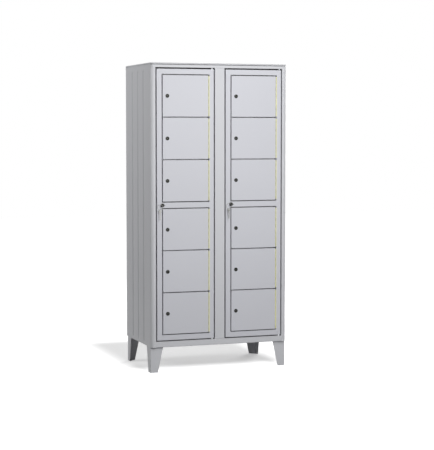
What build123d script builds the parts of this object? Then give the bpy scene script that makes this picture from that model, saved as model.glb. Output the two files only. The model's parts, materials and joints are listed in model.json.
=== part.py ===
from build123d import *
import os
from math import cos, hypot, radians, sin, sqrt

# Floor-standing steel cabinet with two columns of six locked compartments for phones. Each column
# closes with a tall service door, and six small doors sit in its two windows. All sizes are in
# millimetres. The front faces -Y, +X is to its right, and the floor is Z = 0.

# ---- Cabinet ----
width = 840.0
depth = 530.0
height = 1800.0
leg_height = 150.0
sheet = 1.0  # thickness of the body's sheet
edge_radius = 20.0  # bend round the front's upright edges
top_edge_radius = 6.0
bend_radius = 1.5  # every bend with no radius of its own, on its outside
bottom_bend_radius = 4.0  # under the front of the bottom panel
stile_width = 29.0
post_width = 60.0
top_rail = 26.5
bottom_rail = 34.0
fold_depth = 20.0  # how far stiles, rails and the post turn in
lip = 10.0  # last turn of those folds
back_flange = 15.0
post_reveal = 0.8  # open seam above and below the centre post
through = 4 * sheet  # length of a cutter that pierces one sheet
groove_drop = 7.0  # from the top down to the groove pressed round the front and sides
groove_height = 4.5
groove_depth = 4.0

# Beads pressed into the side panels
bead_count = 3
bead_spacing = 116.0
bead_width = 36.0
bead_height = 3.0
bead_slope = 14.0  # of a bead's flanks, from the panel
bead_end = 10.0  # plain panel above and below a bead

# ---- Shelves ----
shelf_hem = 15.0
shelf_sheet = 1.0
shelf_clearance = 1.5  # behind the sweep of the service door
shelf_below_lock = 2.0

# ---- Service doors ----
door_gap = 6.5  # at both sides and below
door_top_gap = 8.0
door_sheet = 1.2
door_depth = 20.0
door_return = 10.0  # last turn of the door's edges, at its back
frame_width = 30.5  # left, top and bottom members
hinge_member = 27.5
middle_member = 32.0
window_rebate = 8.0  # lip behind the small doors' edges
pivot_inset = 9.0  # pivot axis from the door's right edge
pivot_sweep = 0.6  # share of the side gap that the swinging corner uses
pivot_radius = 3.0
pivot_length = 14.0  # into the door
boss_length = 13.0
pivot_collar = 5.4
pivot_plate = 2.0
boss_radius = 6.0
window_edge = 1.0  # rounding of the windows' front edges
running_clearance = 0.05  # radial, for every pin and plug
parting = 0.3  # between pieces that move past each other

# ---- Small doors ----
doors_per_window = 3
small_gap = 5.5
pan_depth = 17.0
pan_sheet = 1.0
pan_return = 8.0  # last turn of the pan's edges, at its back
rebate_gap = 0.8  # between a shut door and the lip behind it

# Strip hinges
knuckle_radius = 2.4
knuckle_clearance = 0.4
knuckle_proud = 0.4  # pin axis in front of the door's face
knuckle_pairs = 6
hinge_pin_radius = 1.25
hinge_sheet = 1.0
hinge_end = 4.0  # door above and below its hinge
hinge_setback = 1.0  # from the leaf's back edge to the pan's

# ---- Cam locks ----
lock_inset = 28.5  # from the small door's left edge
cam_sheet = 2.0
cam_clearance = 2.5
cam_catch = 7.0  # how far a turned cam reaches behind the fold

# For each size of lock, first its radii, then its lengths
small_lock = dict(head=11.0, body=8.0, plug=5.5, nut=11.0, hub=7.0)
small_lock.update(rise=3.0, edge=1.0, nut_height=4.0, arm_width=11.0)
service_lock = dict(head=11.0, body=9.0, plug=6.0, nut=12.5, hub=8.0)
service_lock.update(rise=5.0, edge=1.6, nut_height=5.0, arm_width=13.0)
plug_proud = 0.2
screw_height = 3.0
screw_radius = 5.0
screw_edge = 1.0
screw_slot_width = 1.4
screw_slot_depth = 1.2
cam_tip_radius = 4.0
keyway_width = 6.0
keyway_height = 1.6
keyway_depth = 12.0

# ---- Keys ----
blade_clearance = 0.2
bow_sheet = 3.0
bow_width = 22.0
bow_length = 20.0
bow_end_radius = 7.0
bow_root_radius = 2.5
bow_standoff = 2.0  # from the lock's head to the bow
key_hole_radius = 2.6
key_hole_web = 1.6  # from the hole to the bow's edge
key_hole_reach = 13.0  # the hole's distance from the bow's root
ring_radius = 16.0
ring_wire_radius = 0.9
ring_tilt = 38.0
spare_sheet = 2.0
spare_bow_radius = 10.0
spare_length = 62.0
spare_blade_width = 7.0
spare_hole_radius = 3.2
spare_hole_inset = 5.5
spare_twist = 30.0

# ---- Legs ----
leg_sheet = 2.0
leg_top_width = 77.0
leg_foot_width = 45.0
leg_setback = 20.0  # from the front and from the back
leg_bend_radius = 3.0
leg_plate_corner = 30.0  # uncut edge of the top plate
bolt_radius = 4.0
bolt_head_radius = 9.0
bolt_head_height = 3.5
bolt_head_edge = 2.8
bolt_nut_radius = 7.5
bolt_nut_height = 6.5
bolt_length_below = 9.0
bolt_near = 20.0
bolt_far = 52.0

# ---- Places that follow from the sizes above ----
window_fold = pan_depth + rebate_gap + door_sheet
small_cam_plane = max(window_fold, door_depth) + cam_clearance
service_cam_plane = max(door_depth, fold_depth) + cam_clearance + parting
bow_root = service_lock["rise"] + bow_standoff
ring_plane = bow_root + key_hole_reach
twist = radians(spare_twist)
front_reach = ring_plane + spare_bow_radius * cos(twist) + spare_sheet / 2 * sin(twist)

half_width = width / 2
front = -(depth - front_reach) / 2
back = front + depth
centre_y = (front + back) / 2
body_top = height - top_rail

opening_width = half_width - stile_width - post_width / 2
leaf_width = opening_width - 2 * door_gap
leaf_bottom = leg_height + bottom_rail + door_gap
leaf_top = body_top - door_top_gap
leaf_height = leaf_top - leaf_bottom
window_width = leaf_width - frame_width - hinge_member
window_height = (leaf_height - 2 * frame_width - middle_member) / 2
pivot_back = sqrt((pivot_inset + pivot_sweep * door_gap) ** 2 - pivot_inset**2)
hinge_offset = knuckle_radius + knuckle_clearance
pan_width = window_width - small_gap - 2 * hinge_offset
pan_height = (window_height - (doors_per_window + 1) * small_gap) / doors_per_window
door_pitch = pan_height + small_gap
shelf_front = front + pivot_back + hypot(pivot_inset, door_depth - pivot_back) + shelf_clearance
shelf_back = back - 2 * sheet - bend_radius
lock_z = (leaf_bottom + leaf_top) / 2
bead_crest = sheet + bead_height
bead_wall = sheet / sin(radians(bead_slope))  # the sheet's thickness, measured across a flank

columns = {"left": -half_width + stile_width, "right": post_width / 2}  # left edge of each opening
pivot_y = front + pivot_back
pivot_xs = [left + door_gap + leaf_width - pivot_inset for left in columns.values()]
nodes = []


def finish(name, *solids):
    """Label a piece, or a group of separate solids, and keep it for export."""
    piece = solids[0] if len(solids) == 1 else Compound(children=list(solids))
    piece.label = name
    nodes.append(piece)
    return piece


def face_plane(x, z, y=front):
    """Plane parallel to the front, facing it, with its origin at (x, y, z)."""
    return Plane(origin=(x, y, z), x_dir=(1, 0, 0), z_dir=(0, -1, 0))


def folded_section(path, radii, gauge):
    """Add the section of a folded sheet to the sketch: the path is its middle line."""
    with BuildLine() as middle:
        FilletPolyline(*path, radius=[r - gauge / 2 for r in radii])
    trace(middle.line, line_width=gauge)


def pan(left, bottom, pan_size, fold, gauge, radius, turn):
    """Folded pan with its face in the front plane, whose edges turn in once more at the back."""
    with BuildPart() as tray:
        with BuildSketch(face_plane(left, bottom)):
            Rectangle(*pan_size, align=Align.MIN)
        extrude(amount=-fold)
        face = tray.faces().sort_by(Axis.Y)[0]
        fillet(face.edges(), radius)
        rear = tray.faces().sort_by(Axis.Y)[-1]
        offset(amount=-gauge, openings=rear)
        with BuildSketch(face_plane(left, bottom, front + fold - gauge)):
            Rectangle(*pan_size, align=Align.MIN)
            with Locations((turn, turn)):
                Rectangle(*[side - 2 * turn for side in pan_size], align=Align.MIN, mode=Mode.SUBTRACT)
        extrude(amount=-gauge)
    return tray.part


# ---- Cabinet body ----
with BuildPart() as side_panel_left:
    inner_lip = stile_width - sheet / 2 - lip
    side_path = [
        (-half_width + back_flange, back - sheet / 2),
        (-half_width + sheet / 2, back - sheet / 2),
        (-half_width + sheet / 2, front + sheet / 2),
        (-half_width + stile_width - sheet / 2, front + sheet / 2),
        (-half_width + stile_width - sheet / 2, front + fold_depth - sheet / 2),
        (-half_width + inner_lip, front + fold_depth - sheet / 2),
    ]
    with BuildSketch(Plane.XY.offset(leg_height)):
        folded_section(side_path, [bend_radius, edge_radius, bend_radius, bend_radius], sheet)
    extrude(amount=body_top - leg_height)
    # each bead is a pressed slot: a wider one added inside, a narrower one cut outside
    bead_draft = 90 - bead_slope
    bead_plane = Plane(
        origin=(-half_width, centre_y, (leg_height + body_top) / 2), x_dir=(0, 0, 1), z_dir=(1, 0, 0)
    )
    bead_length = body_top - leg_height - 2 * bead_end
    with BuildSketch(bead_plane):
        with GridLocations(0, bead_spacing, 1, bead_count):
            SlotOverall(bead_length + 2 * bead_wall, bead_width + 2 * bead_wall)
    extrude(amount=bead_crest, taper=bead_draft)
    with BuildSketch(bead_plane):
        with GridLocations(0, bead_spacing, 1, bead_count):
            SlotOverall(bead_length, bead_width)
    extrude(amount=bead_height, taper=bead_draft, mode=Mode.SUBTRACT)
finish("side_panel_left", side_panel_left.part)

with BuildPart() as side_panel_right:
    mirror(side_panel_left.part, about=Plane.YZ)
finish("side_panel_right", side_panel_right.part)


def top_block(inset):
    """Solid shape of the top pan, shrunk inwards by the inset on every face but the lower one."""
    plan_depth = depth - 2 * inset
    top_radius = max(top_edge_radius - inset, sheet / 2)
    with BuildPart() as block:
        with BuildSketch(Plane.XY.offset(body_top)):
            with Locations((0, centre_y)):
                outline = Rectangle(width - 2 * inset, plan_depth)
            fillet(outline.vertices().group_by(Axis.Y)[0], edge_radius - inset)
        extrude(amount=top_rail - inset)
        with BuildSketch(Plane.YZ.offset(-half_width)):
            with Locations((centre_y, body_top)):
                side = Rectangle(plan_depth, top_rail - inset, align=(Align.CENTER, Align.MIN))
            fillet(side.vertices().group_by(Axis.Y)[-1].sort_by(Axis.X)[0], top_radius)
        extrude(amount=width, mode=Mode.INTERSECT)
    return block.part


def top_rim(outer, inner, low, high, stop):
    """Band of the top pan between two insets and two heights, on its front and its sides."""
    with BuildPart() as rim:
        add(top_block(outer))
        add(top_block(inner), mode=Mode.SUBTRACT)
        with BuildSketch(Plane.XY.offset(low)):
            with Locations((0, stop)):
                Rectangle(width, depth, align=(Align.CENTER, Align.MAX))
        extrude(amount=high - low, mode=Mode.INTERSECT)
    return rim.part


with BuildPart() as top_panel:
    add(top_block(0))
    add(top_block(sheet), mode=Mode.SUBTRACT)
    # the pressed groove: its wall is added inside, then the groove is cut from outside
    groove_top = height - groove_drop
    groove_bottom = groove_top - groove_height
    groove_stop = back - back_flange
    wall_band = (groove_bottom - sheet, groove_top + sheet, groove_stop + sheet)
    add(top_rim(sheet, sheet + groove_depth, *wall_band))
    add(top_rim(0, groove_depth, groove_bottom, groove_top, groove_stop), mode=Mode.SUBTRACT)
    # the rail's return, with its lip turned up
    return_path = [
        (front + sheet / 2, body_top + sheet / 2),
        (front + fold_depth - sheet / 2, body_top + sheet / 2),
        (front + fold_depth - sheet / 2, body_top + lip),
    ]
    with BuildSketch(Plane.YZ.offset(-half_width + stile_width)):
        folded_section(return_path, [bend_radius], sheet)
    extrude(amount=width - 2 * stile_width)
    with Locations(*[(pivot_x, pivot_y, body_top) for pivot_x in pivot_xs]):
        Cylinder(pivot_radius, through, mode=Mode.SUBTRACT)
finish("top_panel", top_panel.part)

with BuildPart() as bottom_panel:
    sill = leg_height + bottom_rail
    floor_path = [
        (front + fold_depth - sheet / 2, sill - lip),
        (front + fold_depth - sheet / 2, sill - sheet / 2),
        (front + sheet / 2, sill - sheet / 2),
        (front + sheet / 2, leg_height + sheet / 2),
        (back - 2 * sheet, leg_height + sheet / 2),
    ]
    with BuildSketch(Plane.YZ.offset(-half_width + stile_width)):
        folded_section(floor_path, [bend_radius, bend_radius, bottom_bend_radius], sheet)
    extrude(amount=width - 2 * stile_width)
    # the floor widens behind the stiles to reach the side panels
    floor_front = front + fold_depth + parting
    with BuildSketch(Plane.XY.offset(leg_height)):
        with Locations((0, floor_front)):
            Rectangle(width - 2 * sheet, back - 2 * sheet - floor_front, align=(Align.CENTER, Align.MIN))
    extrude(amount=sheet)
    with Locations(*[(pivot_x, pivot_y, sill) for pivot_x in pivot_xs]):
        Cylinder(pivot_radius, through, mode=Mode.SUBTRACT)
    for inset_x, inset_y in ((bolt_near, bolt_far), (bolt_far, bolt_near)):
        bolts_across = width - 2 * inset_x
        bolts_along = depth - 2 * leg_setback - 2 * inset_y
        with Locations((0, centre_y, leg_height)):
            with GridLocations(bolts_across, bolts_along, 2, 2):
                Cylinder(bolt_radius, through, mode=Mode.SUBTRACT)
finish("bottom_panel", bottom_panel.part)

with BuildPart() as back_panel:
    with BuildSketch(Plane.XY.offset(leg_height)):
        with Locations((0, back - sheet)):
            Rectangle(width - 2 * bend_radius, sheet, align=(Align.CENTER, Align.MAX))
    extrude(amount=height - sheet - leg_height)
finish("back_panel", back_panel.part)

with BuildPart() as centre_post:
    post_side = post_width / 2 - sheet / 2
    post_lip = post_width / 2 - sheet / 2 - lip
    post_path = [
        (-post_lip, front + fold_depth - sheet / 2),
        (-post_side, front + fold_depth - sheet / 2),
        (-post_side, front + sheet / 2),
        (post_side, front + sheet / 2),
        (post_side, front + fold_depth - sheet / 2),
        (post_lip, front + fold_depth - sheet / 2),
    ]
    with BuildSketch(Plane.XY.offset(leg_height + bottom_rail + post_reveal)):
        folded_section(post_path, [bend_radius] * 4, sheet)
    extrude(amount=body_top - leg_height - bottom_rail - 2 * post_reveal)
finish("centre_post", centre_post.part)

with BuildPart() as centre_partition:
    flange_y = back - 2 * sheet - sheet / 2  # in front of the back panel
    partition_path = [
        (-post_width / 2 + sheet, front + fold_depth + sheet / 2),
        (0, front + fold_depth + sheet / 2),
        (0, flange_y),
        (-back_flange, flange_y),
    ]
    with BuildSketch(Plane.XY.offset(leg_height + sheet)):
        folded_section(partition_path, [bend_radius, bend_radius], sheet)
    extrude(amount=height - leg_height - 2 * sheet)
finish("centre_partition", centre_partition.part)

# ---- Shelves ----
window_bottoms = [leaf_bottom + frame_width, leaf_top - frame_width - window_height]
shelf_levels = [lock_z - service_lock["hub"] - shelf_below_lock]
for window_bottom in window_bottoms:
    for row in range(1, doors_per_window):
        shelf_levels.append(window_bottom + row * door_pitch + small_gap / 2)

shelf_spans = [(-half_width + bead_crest, -sheet / 2), (sheet / 2, half_width - bead_crest)]
with BuildPart() as shelves:
    for low_x, high_x in shelf_spans:
        for level in shelf_levels:
            with BuildSketch(Plane.XY.offset(level)):
                with Locations((low_x, shelf_front)):
                    Rectangle(high_x - low_x, shelf_back - shelf_front, align=Align.MIN)
            extrude(amount=-shelf_hem)
            with BuildSketch(Plane.XY.offset(level - shelf_sheet)):
                with Locations((low_x + shelf_sheet, shelf_front + shelf_sheet)):
                    Rectangle(
                        high_x - low_x - 2 * shelf_sheet,
                        shelf_back - shelf_front - 2 * shelf_sheet,
                        align=Align.MIN,
                    )
            extrude(amount=-shelf_hem, mode=Mode.SUBTRACT)
finish("shelves", shelves.part)

# ---- Legs ----
corner_x = -half_width
corner_y = front + leg_setback
bolt_places = [
    (corner_x + bolt_near, corner_y + bolt_far),
    (corner_x + bolt_far, corner_y + bolt_near),
]
with BuildPart() as leg:  # the front left one
    leg_path = [
        (corner_x + leg_top_width, corner_y + leg_sheet / 2),
        (corner_x + leg_sheet / 2, corner_y + leg_sheet / 2),
        (corner_x + leg_sheet / 2, corner_y + leg_top_width),
    ]
    with BuildSketch(Plane.XY):
        folded_section(leg_path, [leg_bend_radius], leg_sheet)
    extrude(amount=leg_height)
    # taper of both flanges, cut down to the foot's width
    taper_points = [(leg_foot_width, 0), (2 * leg_top_width, 0), (2 * leg_top_width, leg_height)]
    taper_points.append((leg_top_width, leg_height))
    with BuildSketch(Plane.XZ.offset(-corner_y)):
        with Locations((corner_x, 0)):
            Polygon(*taper_points, align=None)
    extrude(amount=leg_sheet, both=True, mode=Mode.SUBTRACT)
    with BuildSketch(Plane.YZ.offset(corner_x)):
        with Locations((corner_y, 0)):
            Polygon(*taper_points, align=None)
    extrude(amount=leg_sheet, both=True, mode=Mode.SUBTRACT)
    # foot plate and bolting plate inside the fold
    near = leg_sheet / 2
    with BuildSketch(Plane.XY):
        with Locations((corner_x, corner_y)):
            Polygon((near, near), (leg_foot_width, near), (near, leg_foot_width), align=None)
    extrude(amount=leg_sheet)
    plate_points = [
        (near, near),
        (leg_top_width, near),
        (leg_top_width, leg_plate_corner),
        (leg_plate_corner, leg_top_width),
        (near, leg_top_width),
    ]
    with BuildSketch(Plane.XY.offset(leg_height)):
        with Locations((corner_x, corner_y)):
            Polygon(*plate_points, align=None)
    extrude(amount=-leg_sheet)
    with BuildSketch(Plane.XY.offset(leg_height)):
        with Locations(*bolt_places):
            Circle(bolt_radius)
    extrude(amount=-leg_sheet, mode=Mode.SUBTRACT)

with BuildPart() as leg_bolt_pair:
    with BuildSketch(Plane.XY.offset(leg_height + sheet)):
        with Locations(*bolt_places):
            Circle(bolt_head_radius)
    extrude(amount=bolt_head_height)
    fillet(leg_bolt_pair.edges().group_by(Axis.Z)[-1], bolt_head_edge)
    with BuildSketch(Plane.XY.offset(leg_height + sheet)):
        with Locations(*bolt_places):
            Circle(bolt_radius)
    extrude(amount=-bolt_length_below - sheet)

with BuildPart() as leg_nut_pair:
    with BuildSketch(Plane.XY.offset(leg_height - leg_sheet)):
        with Locations(*bolt_places):
            RegularPolygon(bolt_nut_radius, 6)
            Circle(bolt_radius, mode=Mode.SUBTRACT)
    extrude(amount=-bolt_nut_height)

middle_plane = Plane.XZ.offset(-centre_y)


def at_four_corners(piece):
    """The piece and its mirror images at the cabinet's other three corners, as separate solids."""
    with BuildPart() as group:
        add(piece)
        mirror(piece, about=Plane.YZ)
        mirror(group.part, about=middle_plane)
    return group.part


finish("legs", at_four_corners(leg.part))
bolts = at_four_corners(leg_bolt_pair.part)
nuts = at_four_corners(leg_nut_pair.part)
finish("leg_bolts", *bolts.solids(), *nuts.solids())

# ---- Pivot pins of the service doors ----
with BuildPart() as pivot_pins:
    sill_under = leg_height + bottom_rail - sheet
    return_top = body_top + sheet
    # each level's start, end and radius: first the lower pin with its plate and the collar that the
    # door stands on, then the upper pin with its plate on the rail's return
    for start, end, radius in (
        (sill_under - pivot_plate, sill_under, pivot_collar),
        (sill_under, leaf_bottom + pivot_length, pivot_radius),
        (leg_height + bottom_rail, leaf_bottom - parting, pivot_collar),
        (leaf_top - pivot_length, return_top, pivot_radius),
        (return_top, return_top + pivot_plate, pivot_collar),
    ):
        with BuildSketch(Plane.XY.offset(start)):
            with Locations(*[(pivot_x, pivot_y) for pivot_x in pivot_xs]):
                Circle(radius)
        extrude(amount=end - start)
finish("pivot_pins", pivot_pins.part)


# ---- Locks and keys ----
def lock_housing(x, z, lock, length):
    """Barrel with its round head in front of the door's face, and the nut behind the sheet."""
    with BuildPart() as barrel:
        with BuildSketch(face_plane(x, z)):
            Circle(lock["head"])
        extrude(amount=lock["rise"])
        fillet(barrel.edges().group_by(Axis.Y)[0], lock["edge"])
        with BuildSketch(face_plane(x, z)):
            Circle(lock["body"])
        extrude(amount=-length)
        with BuildSketch(face_plane(x, z)):
            Circle(lock["plug"] + running_clearance)
        extrude(amount=length + lock["rise"], both=True, mode=Mode.SUBTRACT)
    return barrel.part


def lock_nut(x, z, lock, gauge):
    """Hexagonal nut that holds the barrel in the door."""
    with BuildPart() as nut:
        with BuildSketch(face_plane(x, z, front + gauge)):
            RegularPolygon(lock["nut"], 6)
            Circle(lock["body"], mode=Mode.SUBTRACT)
        extrude(amount=-lock["nut_height"])
    return nut.part


def lock_plug(x, z, lock, cam_plane):
    """Plug with its keyway, up to the cam."""
    with BuildPart() as plug:
        with BuildSketch(face_plane(x, z, front - lock["rise"] - plug_proud)):
            Circle(lock["plug"])
        extrude(amount=-(cam_plane + lock["rise"] + plug_proud))
        with BuildSketch(face_plane(x, z, front - lock["rise"] - plug_proud)):
            Rectangle(keyway_width, keyway_height)
        extrude(amount=-keyway_depth, mode=Mode.SUBTRACT)
    return plug.part


def lock_cam(x, z, lock, cam_plane, reach):
    """Flat cam, pointing up while the lock is open."""
    with BuildPart() as cam:
        with BuildSketch(face_plane(x, z, front + cam_plane)):
            Circle(lock["hub"])
            Rectangle(lock["arm_width"], reach, align=(Align.CENTER, Align.MIN))
        extrude(amount=-cam_sheet)
        tip = cam.edges().filter_by(Axis.Y).group_by(Axis.Z)[-1]
        fillet(tip, cam_tip_radius)
    return cam.part


def cam_screw(x, z, cam_plane):
    """Screw head that clamps the cam to the plug."""
    with BuildPart() as screw:
        with BuildSketch(face_plane(x, z, front + cam_plane + cam_sheet)):
            Circle(screw_radius)
        extrude(amount=-screw_height)
        fillet(screw.edges().group_by(Axis.Y)[-1], screw_edge)
        with BuildSketch(face_plane(x, z, front + cam_plane + cam_sheet + screw_height)):
            Rectangle(screw_slot_width, 2 * screw_radius)
        extrude(amount=screw_slot_depth, mode=Mode.SUBTRACT)
    return screw.part


def service_key(x, z):
    """Key in the open lock, with its bow lying flat so that the ring hangs at its left."""
    with BuildPart() as key:
        # blade, clear of the keyway all round
        blade = (keyway_width - 2 * blade_clearance, keyway_height - 2 * blade_clearance)
        with BuildSketch(face_plane(x, z, front - bow_root)):
            Rectangle(*blade)
        extrude(amount=-(bow_standoff + keyway_depth - plug_proud - blade_clearance))
        with BuildSketch(Plane.XY.offset(z - bow_sheet / 2)):
            with Locations((x, front - bow_root)):
                bow = Rectangle(bow_width, bow_length, align=(Align.CENTER, Align.MAX))
            fillet(bow.vertices().group_by(Axis.Y)[0], bow_end_radius)
            fillet(bow.vertices().group_by(Axis.Y)[-1], bow_root_radius)
            with Locations((x - bow_width / 2 + key_hole_web + key_hole_radius, front - ring_plane)):
                Circle(key_hole_radius, mode=Mode.SUBTRACT)
        extrude(amount=bow_sheet)
    return key.part


def ring_centre(x, z):
    """Centre of the split ring that passes through the hole in the bow."""
    hole_x = x - bow_width / 2 + key_hole_web + key_hole_radius
    tilt = radians(ring_tilt)
    return hole_x - ring_radius * cos(tilt), z - ring_radius * sin(tilt)


def split_ring(x, z):
    """Ring in a plane parallel to the front, through the key's hole."""
    centre_x, centre_z = ring_centre(x, z)
    with BuildPart() as ring:
        with Locations(face_plane(centre_x, centre_z, front - ring_plane)):
            Torus(ring_radius, ring_wire_radius)
    return ring.part


def spare_key(x, z):
    """Spare key that hangs from the ring's lowest point, turned a little about the vertical."""
    centre_x, centre_z = ring_centre(x, z)
    hang = spare_hole_radius - ring_wire_radius - parting
    hole_z = centre_z - ring_radius - hang
    flat = Plane(
        origin=(centre_x, front - ring_plane, hole_z + spare_hole_inset),
        x_dir=(-sin(twist), cos(twist), 0),
        z_dir=(cos(twist), sin(twist), 0),
    )
    with BuildPart() as spare:
        with BuildSketch(flat):
            with Locations((0, -spare_bow_radius)):
                Circle(spare_bow_radius)
                blade_size = (spare_blade_width, spare_length - spare_bow_radius)
                Rectangle(*blade_size, align=(Align.CENTER, Align.MAX))
            with Locations((0, -spare_hole_inset)):
                Circle(spare_hole_radius, mode=Mode.SUBTRACT)
        extrude(amount=spare_sheet / 2, both=True)
    return spare.part


# ---- Strip hinges: z is the lower end of the knuckles ----
hinge_length = pan_height - 2 * hinge_end
knuckle_pitch = hinge_length / (2 * knuckle_pairs)


def hinge_leaf(hinge_x, z, sense, bore):
    """One leaf with every other knuckle: sense is -1 for the door's leaf and +1 for the frame's."""
    flat_x = hinge_x + sense * (hinge_offset - hinge_sheet / 2)
    flat_front = front - knuckle_proud + hinge_offset
    flat_back = front + pan_depth - hinge_setback
    with BuildPart() as leaf_part:
        with BuildSketch(Plane.XY.offset(z)):
            with Locations((flat_x, flat_front)):
                Rectangle(hinge_sheet, flat_back - flat_front, align=(Align.CENTER, Align.MIN))
        extrude(amount=hinge_length)
        first = 0 if sense > 0 else 1
        for index in range(first, 2 * knuckle_pairs, 2):
            with BuildSketch(Plane.XY.offset(z + index * knuckle_pitch + parting / 2)):
                with Locations((hinge_x, front - knuckle_proud)):
                    Circle(knuckle_radius)
                with Locations((flat_x, front - knuckle_proud)):
                    Rectangle(hinge_sheet, hinge_offset + hinge_sheet, align=(Align.CENTER, Align.MIN))
                with Locations((hinge_x, front - knuckle_proud)):
                    Circle(bore, mode=Mode.SUBTRACT)
            extrude(amount=knuckle_pitch - parting)
    return leaf_part.part


def hinge_pin(hinge_x, z):
    """Pin through all the knuckles of one strip hinge."""
    with BuildPart() as pin:
        with BuildSketch(Plane.XY.offset(z)):
            with Locations((hinge_x, front - knuckle_proud)):
                Circle(hinge_pin_radius)
        extrude(amount=hinge_length)
    return pin.part


# ---- Doors ----
for (side, opening_left), pivot_x in zip(columns.items(), pivot_xs):
    leaf_left = opening_left + door_gap
    window_left = leaf_left + frame_width
    hinge_x = window_left + window_width - hinge_offset
    lock_x = window_left + small_gap / 2

    with BuildPart() as service_door:
        leaf_size = (leaf_width, leaf_height)
        add(pan(leaf_left, leaf_bottom, leaf_size, door_depth, door_sheet, bend_radius, door_return))
        for window_bottom in window_bottoms:
            with BuildSketch(face_plane(window_left - door_sheet, window_bottom - door_sheet)):
                Rectangle(window_width + 2 * door_sheet, window_height + 2 * door_sheet, align=Align.MIN)
            extrude(amount=-window_fold)
        for window_bottom in window_bottoms:
            with BuildSketch(face_plane(window_left, window_bottom)):
                Rectangle(window_width, window_height, align=Align.MIN)
            extrude(amount=-(window_fold - door_sheet), mode=Mode.SUBTRACT)
            with BuildSketch(face_plane(window_left + window_rebate, window_bottom + window_rebate)):
                opening_size = (window_width - 2 * window_rebate, window_height - 2 * window_rebate)
                Rectangle(*opening_size, align=Align.MIN)
            extrude(amount=-window_fold, mode=Mode.SUBTRACT)
        window_rims = service_door.faces().sort_by(Axis.Y)[0].inner_wires()
        fillet([edge for rim in window_rims for edge in rim.edges()], window_edge)
        for boss_bottom in (leaf_bottom, leaf_top - boss_length):
            with BuildSketch(Plane.XY.offset(boss_bottom)):
                with Locations((pivot_x, pivot_y)):
                    Circle(boss_radius)
            extrude(amount=boss_length)
            with BuildSketch(Plane.XY.offset(boss_bottom)):
                with Locations((pivot_x, pivot_y)):
                    Circle(pivot_radius + running_clearance)
            extrude(amount=boss_length, mode=Mode.SUBTRACT)
        with BuildSketch(face_plane(lock_x, lock_z)):
            Circle(service_lock["body"])
        extrude(amount=-2 * door_sheet, mode=Mode.SUBTRACT)
    finish(f"service_door_{side}", service_door.part)

    strips = []
    for column_index, window_bottom in enumerate(window_bottoms):
        for row in range(doors_per_window):
            pan_bottom = window_bottom + small_gap + row * door_pitch
            pan_left = window_left + small_gap
            number = 2 * doors_per_window - column_index * doors_per_window - row
            knob_x = pan_left + lock_inset
            knob_z = pan_bottom + pan_height / 2
            strips.append(hinge_leaf(hinge_x, pan_bottom + hinge_end, 1, hinge_pin_radius))
            strips.append(hinge_pin(hinge_x, pan_bottom + hinge_end))

            with BuildPart() as small_door:
                pan_size = (pan_width, pan_height)
                add(pan(pan_left, pan_bottom, pan_size, pan_depth, pan_sheet, bend_radius, pan_return))
                with BuildSketch(face_plane(knob_x, knob_z)):
                    Circle(small_lock["body"])
                extrude(amount=-2 * pan_sheet, mode=Mode.SUBTRACT)
            moving_leaf = hinge_leaf(
                hinge_x, pan_bottom + hinge_end, -1, hinge_pin_radius + running_clearance
            )
            finish(f"small_door_{side}_{number}", small_door.part, moving_leaf)

            finish(
                f"door_lock_{side}_{number}",
                lock_housing(knob_x, knob_z, small_lock, small_cam_plane - parting),
                lock_nut(knob_x, knob_z, small_lock, pan_sheet),
            )
            reach = lock_inset + small_gap - window_rebate + cam_catch
            finish(
                f"door_cam_{side}_{number}",
                lock_plug(knob_x, knob_z, small_lock, small_cam_plane),
                lock_cam(knob_x, knob_z, small_lock, small_cam_plane, reach),
                cam_screw(knob_x, knob_z, small_cam_plane),
            )
    finish(f"hinge_strips_{side}", *strips)

    finish(
        f"service_lock_{side}",
        lock_housing(lock_x, lock_z, service_lock, service_cam_plane - parting),
        lock_nut(lock_x, lock_z, service_lock, door_sheet),
    )
    reach = lock_x - leaf_left + door_gap + sheet + cam_catch
    finish(
        f"service_cam_{side}",
        lock_plug(lock_x, lock_z, service_lock, service_cam_plane),
        lock_cam(lock_x, lock_z, service_lock, service_cam_plane, reach),
        cam_screw(lock_x, lock_z, service_cam_plane),
    )
    finish(f"service_key_{side}", service_key(lock_x, lock_z), split_ring(lock_x, lock_z))
    finish(f"spare_key_{side}", spare_key(lock_x, lock_z))

os.makedirs("parts", exist_ok=True)
for piece in nodes:
    export_step(piece, f"parts/{piece.label}.step")
print(f"{len(nodes)} pieces")
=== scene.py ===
# %% [markdown]
# A phone locker cabinet is a folded sheet-steel box on four legs. Two tall service doors close its two
# columns, and each service door holds six small lockable doors. The sheet parts, hinges and locks come
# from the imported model, which is loaded first and never moved. This file gives them their finishes and
# adds the small pieces that make them real, such as rivets, split rings and cut keys. Blender could also
# model the sheet parts again, but then two versions of one size would have to agree.

import json
from math import cos, pi, radians, sin

import bmesh
import bpy
from mathutils import Matrix, Vector


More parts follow.
